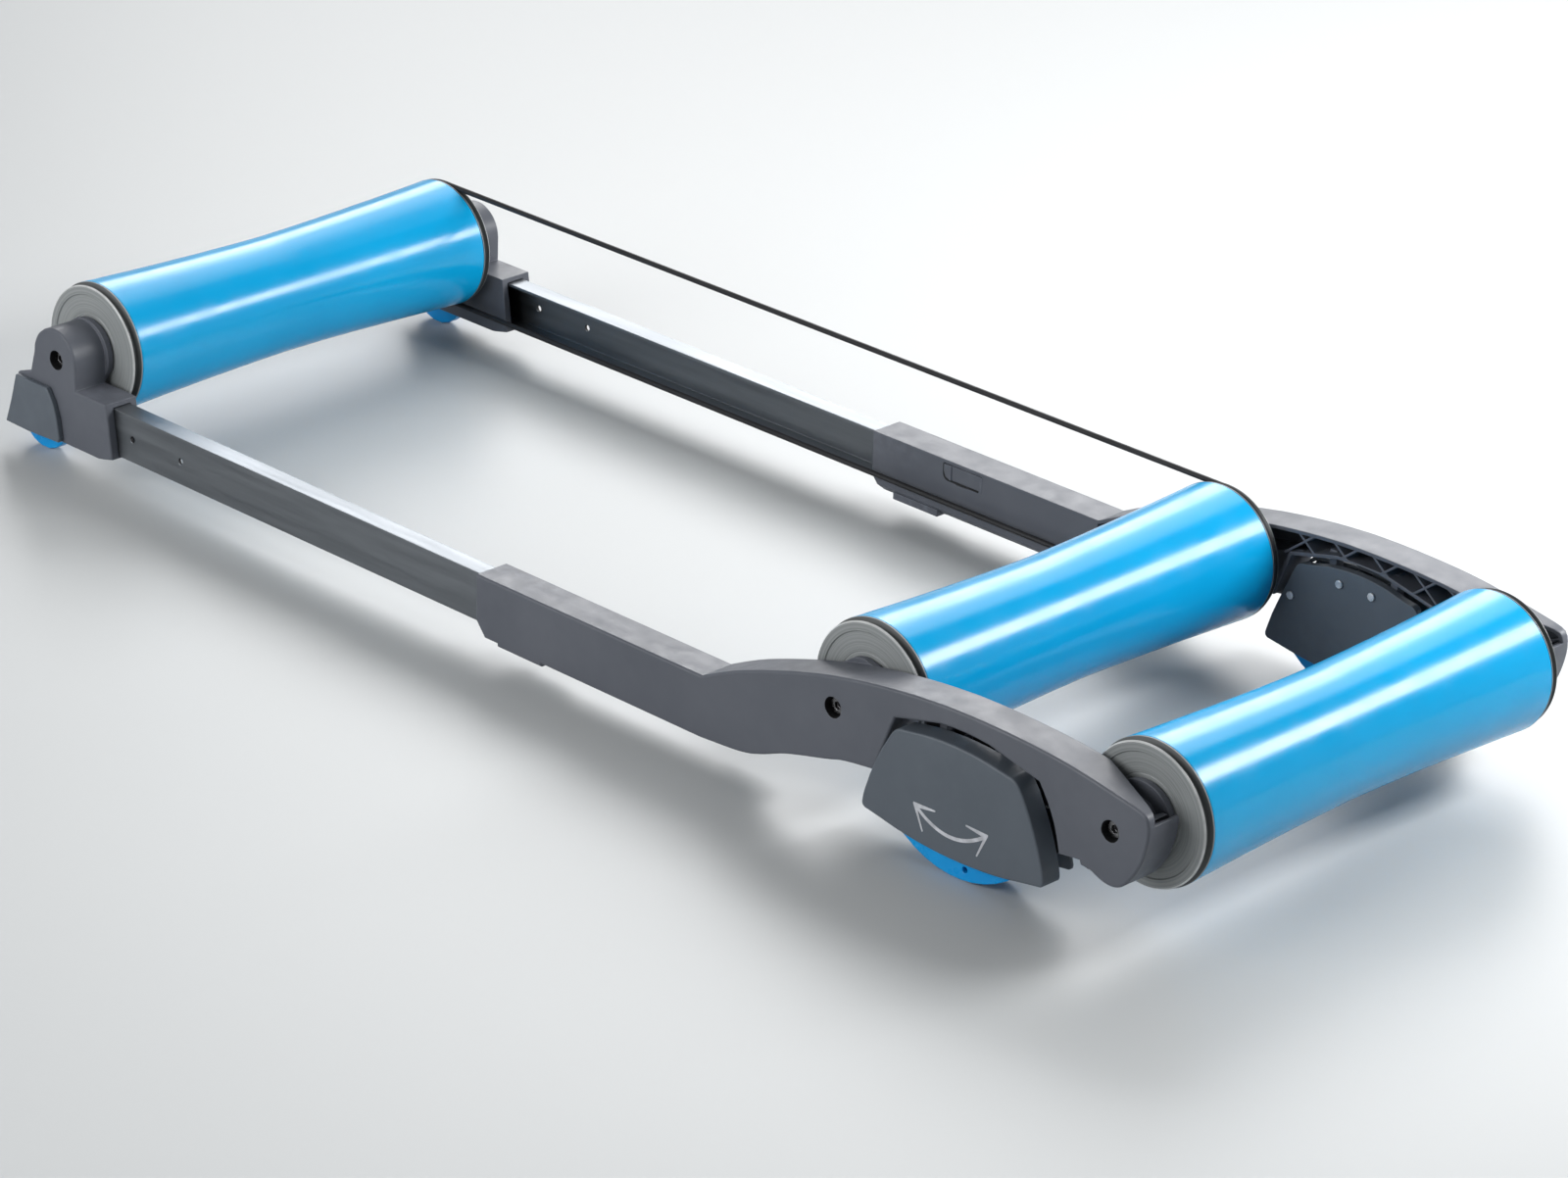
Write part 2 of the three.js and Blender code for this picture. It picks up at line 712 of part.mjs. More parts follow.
function rocker() {
  const outerLow = armOuter - outerCheek;
  const disc = standingDisc(rockerRadius, flangeInner, armOuter, rockerSides);
  const below = (low, high, z) => block(-rockerRadius, rockerRadius, low, high, -rockerRadius - overrun, -z);
  const outerFace = joined(
    disc.intersect(below(outerLow, armOuter, cheekTop)),
    block(-stemHalf, stemHalf, outerLow, armOuter, -cheekTop - overrun, -pivotDrop),
    rod(stemHalf, outerLow, armOuter, 0, -pivotDrop, midSides),
  );
  const plate = slab(drawnIn(plateOutline, cheekInset), flangeInner, flangeOuter);
  const innerFace = joined(plate, below(flangeInner, flangeOuter, cheekTop)).intersect(disc);
  const hollow = rod(
    rockerRadius - treadWall, flangeInner - overrun, armOuter + overrun, 0, 0, rockerSides / 2,
  );
  const strip = block(-treadHalf, treadHalf, flangeInner, armOuter, -rockerRadius - overrun, -cheekTop);
  const tread = cut(disc.intersect(strip), hollow);
  const ribs = [-ribSpread, 0, ribSpread].map((x) => block(x - ribWall / 2, x + ribWall / 2, flangeInner,
    outerLow + overrun, treadWall / 2 - rockerRadius, -ribTop).intersect(disc));
  const ears = [-earSpread, earSpread].map((x) => rod(screwRadius + clearance, plateOuter, railInner,
    x, -earDrop, smallSides));
  const pivot = rod(pivotBoss + clearance, plateOuter, armOuter + overrun, 0, -pivotDrop, midSides);
  const inspect = rod(
    inspectRadius, outerLow - overrun, armOuter + overrun, inspectX, -inspectDrop, smallSides,
  );
  return cut(joined(outerFace, innerFace, tread, ...ribs), pivot, inspect, ...ears,
    ...posts(postRadius + clearance, plateOuter, railInner));
}

function footPin() {
  return rod(
    pivotRadius, plateInner + pinSkin + clearance, coverInner - 2 * clearance, 0, -pivotDrop, midSides,
  );
}

function footScrew(x, z, end) {
  const head = rod(screwHead, plateInner - clearance - headHeight, plateInner - clearance, x, z, smallSides);
  return joined(head, rod(screwRadius, plateInner - overrun, end, x, z, smallSides));
}

// Front bracket: an end boss for the front axle, a socket for the rail and a fork for the wheel
const towerRadius = 26.4;
const towerLead = 2.5;
const towerDrop = 0.3;
const towerFoot = 34.2;
const shoulderDrop = 20;
const socketBack = 62.3;
const socketLean = 7;
const socketSkin = 5.5;
const socketCut = 18;
const socketFront = 3.3;
const forkShares = [[-0.83, 0.11], [-1, 1], [0, 1]];
const forkReach = 60.7;
const forkDrop = 70;
const forkTop = 19;
const cheekWall = 4;
const towerFanShares = [0.08, 0.25, 0.42];
const mouthLip = 1.5;
const mouthDrop = railDrop + railHeight + mouthLip;
const socketDrop = railDrop + railHeight + socketSkin;

function socketOutline() {
  return [
    at(socketFront, -shoulderDrop), at(socketFront, -socketDrop),
    at(socketBack + socketLean - socketCut, -socketDrop), at(socketBack + socketLean, -mouthDrop),
    at(socketBack, -shoulderDrop),
  ];
}

function towerOutline() {
  const shape = new THREE.Shape();
  shape.moveTo(-towerFoot, -shoulderDrop);
  shape.lineTo(-towerLead - towerRadius, -towerDrop);
  shape.absarc(-towerLead, -towerDrop, towerRadius, Math.PI, 0, true);
  shape.lineTo(towerRadius - towerLead, -shoulderDrop);
  return corners(shape, profileSteps * 2);
}

function forkOutline() {
  return [
    at(-towerFoot, -forkTop),
    ...forkShares.map(([s, r]) => at(s * forkReach, -forkTop - r * (forkDrop - forkTop))),
    at(0, -forkTop),
  ];
}

const wheelLead = 30.7;
const wheelRadius = 30;
const wheelDrop = axleHeight - wheelRadius;
const wheelHalf = 5;
const hubSpread = 10.5;
const wheelHub = 7;
const wheelPinRadius = 3;
const wheelMiddle = (armInner + cheekWall + webInner) / 2;

function frontBracket() {
  const whole = joined(
    slab(towerOutline(), armInner, armOuter),
    block(-towerFoot, socketBack, armInner, armOuter, -shoulderDrop - flangeWall, -shoulderDrop),
    slab(socketOutline(), armInner, armOuter),
  );
  const towerRoom = slab(drawnIn(towerOutline(), flangeWall), armInner - overrun, webInner);
  const way = block(railHead - clearance, socketBack + socketLean + overrun, railInner - clearance,
    railOuter + clearance, railBottom - clearance, railTop + clearance);
  const web = slab(forkOutline(), webInner, armOuter);
  const cheek = slab(forkOutline(), armInner, armInner + cheekWall);
  const toRoot = joined(
    block(0, socketFront + overrun, armInner, armInner + cheekWall, -socketDrop, -forkTop),
    block(0, socketFront + overrun, webInner, armOuter, -socketDrop, -forkTop),
  );
  const fan = joined(...towerFanShares.map((s) => strut(at(0, 0),
    at(fanReach * Math.cos(s * fullTurn), fanReach * Math.sin(s * fullTurn)), ribWall, armInner + fanSink,
    webInner)));
  const ribs = fan.intersect(slab(towerOutline(), armInner, armOuter));
  const pinWay = rod(
    wheelPinRadius + clearance, armInner - overrun, armOuter + overrun, -wheelLead, -wheelDrop, smallSides,
  );
  const filled = joined(cut(whole, towerRoom), web, cheek, toRoot, ribs, boss(0));
  return cut(filled, way, pinWay, ...boltWay(0));
}

const frontCoverShares = [[-0.77, 0.06], [-0.12, 0.06], [0, 0.26], [0.075, 0.5], [0.125, 0.83], [0.1, 0.9],
  [-0.53, 0.935], [-1, 0.925], [-0.875, 0.5]];

function frontFootCover() {
  const points = frontCoverShares.map(([s, r]) => at(
    s * noseReach,
    -railDrop + railWall - r * (railHeight + 4 * flangeWall),
  ));
  const rim = slab(points, armOuter + clearance, coverOuter);
  return cut(rim, slab(drawnIn(points, ribWall), armOuter, coverOuter - ribWall));
}

function frontWheel() {
  const round = facetedRadius(wheelRadius, fineSides);
  const profile = [
    at(0, wheelMiddle - hubSpread), at(wheelHub, wheelMiddle - hubSpread),
    at(wheelHub, wheelMiddle - wheelHalf), at(round, wheelMiddle - wheelHalf),
    at(round, wheelMiddle + wheelHalf), at(wheelHub, wheelMiddle + wheelHalf),
    at(wheelHub, wheelMiddle + hubSpread), at(0, wheelMiddle + hubSpread),
  ];
  const turned = new THREE.LatheGeometry(profile, fineSides, Math.PI / fineSides);
  turned.translate(-wheelLead, 0, -wheelDrop);
  const bore = rod(wheelPinRadius + clearance, armInner, armOuter, -wheelLead, -wheelDrop, smallSides);
  return cut(solid(turned), bore);
}

function wheelPin() {
  return rod(wheelPinRadius, armInner + clearance, armOuter, -wheelLead, -wheelDrop, smallSides);
}

// Round cord from the front drum's groove to the middle drum's and back
const beltTurnSteps = 16;
const beltSides = 6;
const beltLoop = drumEndRadius - grooveDepth + clearance + cordRadius;

function driveBelt() {
  const centres = [];
  for (let end = 0; end < 2; end += 1) {
    for (let i = 0; i <= beltTurnSteps; i += 1) {
      const turn = Math.PI * (i / beltTurnSteps + end - 0.5);
      centres.push({ x: end ? -frontToMiddle : 0, turn });
    }
  }
  const positions = [];
  const index = [];
  centres.forEach(({ x, turn }, i) => {
    for (let k = 0; k < beltSides; k += 1) {
      const around = fullTurn * (k + 0.5) / beltSides;
      const reach = beltLoop + cordRadius * Math.cos(around);
      const y = cordLayer + cordRadius * Math.sin(around);
      positions.push(x + reach * Math.cos(turn), y, reach * Math.sin(turn));
      const next = (i + 1) % centres.length;
      const [a, b] = [i * beltSides + k, i * beltSides + (k + 1) % beltSides];
      const [c, d] = [next * beltSides + k, next * beltSides + (k + 1) % beltSides];
      index.push(a, b, c, b, d, c);
    }
  });
  const g = new THREE.BufferGeometry();
  g.setAttribute('position', new THREE.BufferAttribute(new Float32Array(positions), 3));
  g.setIndex(index);
  return closed(g);
}

// Rear frame: both arms, the middle and rear axles, the belt and the lock tongues
pair(rearFrame, 'arm', arm(), plastic);
place(rearFrame, 'middle_axle', axle(), steel);
place(rearAxle, 'rear_axle', axle(), steel);
pair(rearFrame, 'middle_axle_bolt', axleBolt(), steel);
pair(rearAxle, 'rear_axle_bolt', axleBolt(), steel);
pair(rearFrame, 'lock_tongue', lockTongue(), plastic);
pair(rearFrame, 'rail', rail(), railGrey);
place(rearFrame, 'drive_belt', driveBelt(), rubber);

// Three drums with a cap and a bearing at each end
[['front', frontFrame], ['middle', rearFrame], ['rear', rearAxle]].forEach(([name, group]) => {
  place(group, `${name}_drum_shell`, drumShell(), blue);
  pair(group, `${name}_drum_cap`, drumCap(), capGrey);
  pair(group, `${name}_drum_bearing`, bearing(), steel);
});

// Front frame: brackets at the rails' front ends with the front axle and wheels
pair(frontFrame, 'front_bracket', frontBracket(), plastic);
place(frontFrame, 'front_axle', axle(), steel);
pair(frontFrame, 'front_axle_bolt', axleBolt(), steel);
pair(frontFrame, 'front_foot_cover', frontFootCover(), plastic);
pair(frontFrame, 'front_wheel', frontWheel(), blue);
pair(frontFrame, 'front_wheel_pin', wheelPin(), steel);

// Swing feet under the arms
pair(footGroup, 'foot_cover', footCover(), plastic);
pair(footGroup, 'foot_plate', footPlate(), plastic);
pair(footGroup, 'foot_rocker', rocker(), blue);
pair(footGroup, 'foot_pin', footPin(), steel);
pair(footGroup, 'foot_screw_upper_front', footScrew(-postSpread, postRise, skirtInner - overrun), steel);
pair(footGroup, 'foot_screw_upper_rear', footScrew(postSpread, postRise, skirtInner - overrun), steel);
pair(footGroup, 'foot_screw_lower_front', footScrew(-earSpread, -earDrop, flangeOuter), steel);
pair(footGroup, 'foot_screw_lower_rear', footScrew(earSpread, -earDrop, flangeOuter), steel);

export default stand;
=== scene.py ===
import json
import math

import bmesh
import bpy
from mathutils import Matrix, Vector

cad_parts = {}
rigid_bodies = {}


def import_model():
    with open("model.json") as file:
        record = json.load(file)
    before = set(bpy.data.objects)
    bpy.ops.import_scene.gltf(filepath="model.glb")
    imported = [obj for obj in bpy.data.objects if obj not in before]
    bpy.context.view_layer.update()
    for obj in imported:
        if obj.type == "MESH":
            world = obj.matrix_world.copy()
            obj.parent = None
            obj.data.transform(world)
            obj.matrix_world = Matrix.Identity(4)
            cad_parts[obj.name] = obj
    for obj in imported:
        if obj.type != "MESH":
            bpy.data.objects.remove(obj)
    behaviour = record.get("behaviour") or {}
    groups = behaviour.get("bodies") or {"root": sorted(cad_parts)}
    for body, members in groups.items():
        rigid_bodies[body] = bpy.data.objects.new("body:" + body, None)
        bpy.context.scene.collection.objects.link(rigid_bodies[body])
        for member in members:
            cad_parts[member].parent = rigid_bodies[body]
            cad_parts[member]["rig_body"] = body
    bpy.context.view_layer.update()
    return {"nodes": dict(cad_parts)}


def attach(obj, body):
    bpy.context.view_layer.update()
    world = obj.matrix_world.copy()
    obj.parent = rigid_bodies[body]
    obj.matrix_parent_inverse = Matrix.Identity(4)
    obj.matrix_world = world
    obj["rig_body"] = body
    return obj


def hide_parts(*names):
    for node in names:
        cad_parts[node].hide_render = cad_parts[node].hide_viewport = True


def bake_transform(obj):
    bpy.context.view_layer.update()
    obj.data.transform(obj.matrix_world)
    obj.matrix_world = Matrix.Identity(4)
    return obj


# Bike rollers in metres: +X towards the rider's back, +Y the rider's right, +Z up.
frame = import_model()
nodes = frame["nodes"]
scene = bpy.context.scene
SIDES = (("left", -1), ("right", 1))

# The three axles, seen from the side
FRONT_X, MIDDLE_X, REAR_X, AXLE_Z = -0.567125, 0.310175, 0.573825, 0.088
# Middle of the swing feet, and the height where the tread of their rockers begins
FOOT_X = MIDDLE_X + 0.4665 * (REAR_X - MIDDLE_X)
TREAD_TOP = 0.034
# Outer faces of the arms and of the covers, and the inner face of the sleeves: their |y|
ARM_FACE, COVER_FACE, SLEEVE_FACE = 0.232, 0.237, 0.2006
# Wall inside each arm with the passage that the rail slides through
PASSAGE_X, PASSAGE_REACH = MIDDLE_X - 0.133, 0.0004
PASSAGE_Y, PASSAGE_Z = (0.197, 0.2285), (0.018, 0.0625)
# Recesses of the axle bolts: their reach from the axle, the |y| that they start from, and
# the surround that keeps its narrow rounding
RECESS_REACH, RECESS_Y, RECESS_SURROUND = 0.0083, 0.2215, 0.0095
# Notch in the arm's lower edge before its round tail
NOTCH_X, NOTCH_Z, NOTCH_REACH = MIDDLE_X + 0.2395, AXLE_Z - 0.0325, 0.007
# Row of holes along each rail
HOLE_X, HOLE_Z, HOLE_PITCH = MIDDLE_X - 0.311, AXLE_Z - 0.0445, 0.06
HOLE_REACH, WEB_Y = 0.0029, 0.2211


# Camera at the photograph's angle: its azimuth, elevation and roll are in degrees
CAMERA_PLACE = (2.814035, -2.8853, 1.8011)
CAMERA_TURN = (43.93, 23.975, 1.968)
CAMERA_LENS, CAMERA_SENSOR, CAMERA_REACH = 130.28, 36, 30


def photo_camera():
    azimuth, elevation, roll = (math.radians(a) for a in CAMERA_TURN)
    back = Vector((math.sin(azimuth) * math.cos(elevation),
                   -math.cos(azimuth) * math.cos(elevation), math.sin(elevation)))
    right = (-back).cross(Vector((0, 0, 1))).normalized()
    up = right.cross(-back)
    across = math.cos(roll) * right + math.sin(roll) * up
    upward = math.cos(roll) * up - math.sin(roll) * right
    data = bpy.data.cameras.new("photo_camera")
    data.sensor_fit = "HORIZONTAL"
    data.sensor_width = CAMERA_SENSOR
    data.lens = CAMERA_LENS
    data.clip_end = CAMERA_REACH
    camera = bpy.data.objects.new("photo_camera", data)
    turn = Matrix((across, upward, back)).transposed().to_4x4()
    camera.matrix_world = Matrix.Translation(CAMERA_PLACE) @ turn
    scene.collection.objects.link(camera)
    scene.camera = camera


# Material building blocks. The mix node holds its colours in these sockets.
MIX_FACTOR, MIX_FIRST, MIX_SECOND, MIX_RESULT = 0, 6, 7, 2


def new_material(name, color, roughness, metallic=0.0):
    material = bpy.data.materials.new(name)
    material.use_nodes = True
    tree = material.node_tree
    shader = tree.nodes["Principled BSDF"]
    shader.inputs["Base Color"].default_value = (*color, 1)
    shader.inputs["Roughness"].default_value = roughness
    shader.inputs["Metallic"].default_value = metallic
    return material, tree, shader


def add(tree, kind, **settings):
    node = tree.nodes.new(kind)
    for name, value in settings.items():
        setattr(node, name, value)
    return node


def noise(tree, vector, scale, detail=3.0, roughness=0.55):
    node = add(tree, "ShaderNodeTexNoise")
    node.inputs["Scale"].default_value = scale
    node.inputs["Detail"].default_value = detail
    node.inputs["Roughness"].default_value = roughness
    tree.links.new(vector, node.inputs["Vector"])
    return node.outputs["Fac"]


def line_noise(tree, value, scale, detail):
    """Noise that varies along one value only, such as a place along an axle."""
    node = add(tree, "ShaderNodeTexNoise", noise_dimensions="1D")
    node.inputs["Scale"].default_value = scale
    node.inputs["Detail"].default_value = detail
    tree.links.new(value, node.inputs["W"])
    return node.outputs["Fac"]


def ramp(tree, value, low, high, from_low=0.3, from_high=0.7):
    node = add(tree, "ShaderNodeMapRange")
    node.inputs["From Min"].default_value = from_low
    node.inputs["From Max"].default_value = from_high
    node.inputs["To Min"].default_value = low
    node.inputs["To Max"].default_value = high
    tree.links.new(value, node.inputs["Value"])
    return node.outputs["Result"]


def mixed(tree, factor, first, second):
    node = add(tree, "ShaderNodeMix", data_type="RGBA")
    for socket, value in ((node.inputs[MIX_FIRST], first), (node.inputs[MIX_SECOND], second)):
        if isinstance(value, tuple):
            socket.default_value = (*value, 1)
        else:
            tree.links.new(value, socket)
    tree.links.new(factor, node.inputs[MIX_FACTOR])
    return node.outputs[MIX_RESULT]


def bump(tree, shader, height, strength, distance, after=None):
    node = add(tree, "ShaderNodeBump")
    node.inputs["Strength"].default_value = strength
    node.inputs["Distance"].default_value = distance
    tree.links.new(height, node.inputs["Height"])
    if after is not None:
        tree.links.new(after, node.inputs["Normal"])
    tree.links.new(node.outputs["Normal"], shader.inputs["Normal"])
    return node.outputs["Normal"]


def place_of(tree):
    return add(tree, "ShaderNodeTexCoord").outputs["Object"]


def split_place(tree):
    split = add(tree, "ShaderNodeSeparateXYZ")
    tree.links.new(place_of(tree), split.inputs[0])
    return split.outputs


def plastic_material(name, dark, light, roughness, grain=2600.0):
    """Moulded plastic: a fine grain, uneven gloss, and lighter scuffs along worn edges."""
    gloss, scuff_gain, scuff_add = 0.3, 1.7, 0.01
    smoother, rougher = 0.06, 0.08
    material, tree, shader = new_material(name, dark, roughness)
    shader.inputs["Specular IOR Level"].default_value = gloss
    where = place_of(tree)
    broad = noise(tree, where, scale=14.0, detail=4.0)
    base = mixed(tree, ramp(tree, broad, 0.0, 1.0, from_low=0.35), dark, light)
    edge = tuple(min(1.0, c * scuff_gain + scuff_add) for c in light)
    worn = add(tree, "ShaderNodeNewGeometry").outputs["Pointiness"]
    patches = noise(tree, where, scale=90.0, detail=5.0)
    scuff = add(tree, "ShaderNodeMath", operation="MULTIPLY")
    tree.links.new(ramp(tree, worn, 0.0, 1.0, from_low=0.52, from_high=0.62), scuff.inputs[0])
    tree.links.new(ramp(tree, patches, 0.0, 0.55, from_low=0.42, from_high=0.68), scuff.inputs[1])
    tree.links.new(mixed(tree, scuff.outputs[0], base, edge), shader.inputs["Base Color"])
    uneven = noise(tree, where, scale=60.0, detail=6.0)
    tree.links.new(ramp(tree, uneven, roughness - smoother, roughness + rougher),
                   shader.inputs["Roughness"])
    waves = bump(tree, shader, noise(tree, where, scale=55.0, detail=2.0),
                 strength=0.05, distance=0.0004)
    bump(tree, shader, noise(tree, where, scale=grain, detail=2.0),
         strength=0.35, distance=0.00008, after=waves)
    return material


def drum_material():
    """Glossy blue plastic, turned, with very fine lines round the drum."""
    material, tree, shader = new_material("drum_blue", (0.001, 0.33, 0.65), roughness=0.2)
    shader.inputs["Specular IOR Level"].default_value = 0.33
    where = place_of(tree)
    broad = ramp(tree, noise(tree, where, scale=9.0), 0.0, 1.0)
    base = mixed(tree, broad, (0.0005, 0.315, 0.62), (0.002, 0.35, 0.68))
    tree.links.new(base, shader.inputs["Base Color"])
    uneven = noise(tree, where, scale=45.0, detail=6.0)
    tree.links.new(ramp(tree, uneven, 0.16, 0.26), shader.inputs["Roughness"])
    lathe = line_noise(tree, split_place(tree)["Y"], scale=900.0, detail=4.0)
    bump(tree, shader, lathe, strength=0.25, distance=0.00004)
    return material


def ringed_material(name, dark, light, roughness, axis_x):
    """Turned face: fine rings round an axle."""
    smoother, rougher = 0.05, 0.08
    material, tree, shader = new_material(name, dark, roughness)
    split = split_place(tree)
    flat = add(tree, "ShaderNodeCombineXYZ")
    tree.links.new(split["X"], flat.inputs["X"])
    tree.links.new(split["Z"], flat.inputs["Z"])
    off = add(tree, "ShaderNodeVectorMath", operation="DISTANCE")
    off.inputs[1].default_value = (axis_x, 0, AXLE_Z)
    tree.links.new(flat.outputs[0], off.inputs[0])
    rings = line_noise(tree, off.outputs["Value"], scale=700.0, detail=3.0)
    base = mixed(tree, ramp(tree, rings, 0.0, 1.0), dark, light)
    tree.links.new(base, shader.inputs["Base Color"])
    uneven = noise(tree, place_of(tree), scale=70.0, detail=5.0)
    tree.links.new(ramp(tree, uneven, roughness - smoother, roughness + rougher),
                   shader.inputs["Roughness"])
    bump(tree, shader, rings, strength=0.45, distance=0.00012)
    return material


def metal_material(name, dark, light, roughness, stretch, scale):
    """Drawn or plated metal: fine lines that run along one direction."""
    smoother, rougher = 0.06, 0.08
    material, tree, shader = new_material(name, dark, roughness, metallic=1.0)
    mapping = add(tree, "ShaderNodeMapping")
    mapping.inputs["Scale"].default_value = stretch
    tree.links.new(place_of(tree), mapping.inputs["Vector"])
    lines = noise(tree, mapping.outputs["Vector"], scale, detail=6.0, roughness=0.6)
    base = mixed(tree, ramp(tree, lines, 0.0, 1.0), dark, light)
    tree.links.new(base, shader.inputs["Base Color"])
    tree.links.new(ramp(tree, lines, roughness - smoother, roughness + rougher),
                   shader.inputs["Roughness"])
    bump(tree, shader, lines, strength=0.3, distance=0.00005)
    return material


DRUM = drum_material()
ARM = plastic_material("moulded_grey", (0.088, 0.096, 0.115), (0.104, 0.112, 0.132),
                       roughness=0.42)
COVER = plastic_material("moulded_cover", (0.088, 0.104, 0.124), (0.1, 0.117, 0.138),
                         roughness=0.4)
BLUE = plastic_material("moulded_blue", (0.002, 0.24, 0.6), (0.004, 0.3, 0.68),
                        roughness=0.3, grain=1800.0)
RAIL = metal_material("rail_coated", (0.17, 0.184, 0.2), (0.21, 0.226, 0.243),
                      roughness=0.4, stretch=(0.06, 1, 1), scale=160.0)
STEEL = metal_material("zinc_steel", (0.62, 0.63, 0.65), (0.82, 0.83, 0.84),
                       roughness=0.34, stretch=(1, 0.2, 1), scale=320.0)
BLACK = metal_material("black_steel", (0.1, 0.1, 0.105), (0.2, 0.2, 0.205),
                       roughness=0.22, stretch=(1, 1, 1), scale=320.0)
# Painted shade: a near-black for the bolt recesses, the rail holes, the slits round the lock
# tongues and the rockers up inside their covers
SHADE = plastic_material("painted_shade", (0.008, 0.008, 0.009), (0.012, 0.012, 0.013),
                         roughness=0.6)
# Painted shade in the cord grooves of the caps
GROOVE = plastic_material("groove_painted_shade", (0.07, 0.075, 0.076), (0.1, 0.106, 0.107),
                          roughness=0.45)
# Painted highlight on a thin ring just inside each cap's rim
RIM_HIGHLIGHT = plastic_material("cap_rim_painted_highlight", (0.42, 0.43, 0.43), (0.52, 0.53, 0.53), roughness=0.3)
BELT = plastic_material("belt_cord", (0.012, 0.012, 0.013), (0.02, 0.02, 0.022),
                        roughness=0.5, grain=3000.0)
INK = plastic_material("printed_arrow", (0.36, 0.37, 0.4), (0.48, 0.49, 0.52),
                       roughness=0.5, grain=2000.0)
CAPS = {name: ringed_material("cap_" + name, (0.21, 0.225, 0.227), (0.28, 0.295, 0.297),
                              roughness=0.36, axis_x=x)
        for name, x in (("front", FRONT_X), ("middle", MIDDLE_X), ("rear", REAR_X))}


# Places on the CAD shapes that get a rounding of their own, or painted shade
def axle_distance(point):
    """How far a point is, seen from the side, from the nearest of the three axles."""
    return min(math.hypot(point.x - x, point.z - AXLE_Z) for x in (FRONT_X, MIDDLE_X, REAR_X))


def has_room(point):
    """Whether a wide rounding fits: not round a bolt's recess, nor in the arm's notch."""
    from_notch = math.hypot(point.x - NOTCH_X, point.z - NOTCH_Z)
    return axle_distance(point) > RECESS_SURROUND and from_notch > NOTCH_REACH


def in_passage(point):
    """Whether a point lies on the wall inside an arm that the rail slides through."""
    return (abs(point.x - PASSAGE_X) < PASSAGE_REACH
            and PASSAGE_Y[0] < abs(point.y) < PASSAGE_Y[1]
            and PASSAGE_Z[0] < point.z < PASSAGE_Z[1])


def in_recess(point):
    """Whether a point belongs to the wall or seat of a bolt's recess, whose faces are painted
    with shade.
    """
    return abs(point.y) > RECESS_Y and axle_distance(point) < RECESS_REACH


def in_cover(point):
    """Whether a point of a foot's rocker lies up inside its cover, above the tread, where the
    rocker is painted with shade.
    """
    slack = 0.001
    return point.z > TREAD_TOP - slack


def in_rail_hole(point):
    """Whether a point belongs to one of the holes along a rail's web, whose walls are painted
    with shade.
    """
    step = (point.x - HOLE_X) / HOLE_PITCH
    along = abs(step - round(step)) * HOLE_PITCH
    return abs(point.y) > WEB_Y and along < HOLE_REACH and abs(point.z - HOLE_Z) < HOLE_REACH


# Mesh building blocks. An edge stays sharp from these angles on, in degrees.
TURNED_SHARP, CAD_SHARP = 35.0, 32.0
TURN_STEPS = 128


def finished(name, bm, material, body, stands_for, sharp=TURNED_SHARP):
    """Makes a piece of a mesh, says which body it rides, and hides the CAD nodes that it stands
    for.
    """
    bmesh.ops.recalc_face_normals(bm, faces=bm.faces)
    limit = math.radians(sharp)
    for face in bm.faces:
        face.smooth = True
    for edge in bm.edges:
        edge.smooth = len(edge.link_faces) == 2 and edge.calc_face_angle(0) < limit
    mesh = bpy.data.meshes.new(name)
    bm.to_mesh(mesh)
    bm.free()
    mesh.materials.append(material)
    piece = bpy.data.objects.new(name, mesh)
    scene.collection.objects.link(piece)
    if body:
        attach(piece, body)
    if stands_for:
        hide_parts(*stands_for)
    return piece


def directions(count):
    """Cosine and sine of each of the even steps of one full turn."""
    return [(math.cos(2 * math.pi * k / count), math.sin(2 * math.pi * k / count))
            for k in range(count)]


def joined_rings(bm, rings):
    """Faces between each ring of vertices and the next one, back to the first."""
    for i, ring in enumerate(rings):
        ahead = rings[(i + 1) % len(rings)]
        for k in range(len(ring)):
            n = (k + 1) % len(ring)
            bm.faces.new((ring[k], ring[n], ahead[n], ahead[k]))


def turned(name, profile, x, material, body, stands_for):
    """A closed profile of (radius, y) points turned about the axle at x, which runs along Y."""
    bm = bmesh.new()
    joined_rings(bm, [[bm.verts.new((x + radius * c, y, AXLE_Z + radius * s))
                       for c, s in directions(TURN_STEPS)] for radius, y in profile])
    return finished(name, bm, material, body, stands_for)


def plate_from(outline, sign, inner, outer, origin_x):
    """A thin plate between two layers across the stand, from (x, z) points about an origin."""
    bm = bmesh.new()
    layers = [[bm.verts.new((origin_x + x, sign * y, AXLE_Z + z)) for x, z in outline]
              for y in (inner, outer)]
    bm.faces.new(layers[0])
    bm.faces.new(layers[1])
    for k in range(len(outline)):
        n = (k + 1) % len(outline)
        bm.faces.new((layers[0][k], layers[0][n], layers[1][n], layers[1][k]))
    bm.normal_update()
    bmesh.ops.triangulate(bm, faces=[f for f in bm.faces if len(f.verts) > 4])
    return bm


def quadratic(start, control, end, t):
    return (1 - t) ** 2 * start + 2 * t * (1 - t) * control + t * t * end


def hermite(start, lead, end, tail, t):
    return ((2 * t ** 3 - 3 * t ** 2 + 1) * start + (t ** 3 - 2 * t ** 2 + t) * lead
            + (3 * t ** 2 - 2 * t ** 3) * end + (t ** 3 - t ** 2) * tail)


# Curving of side profiles: walls that turn by less than this, in degrees, form one curve
FLOW_TURN, RECESS_TURN = 24.0, 50.0
FLOW_CUTS = 3
SHORTEST_WALL = 0.002
LEVEL_SLACK, MATCH_SLACK = 1e-6, 1e-5
# The share of Y in the normal of a side face, at least, and of a wall's face, at most
SIDE_SHARE, WALL_SHARE = 0.999, 0.05


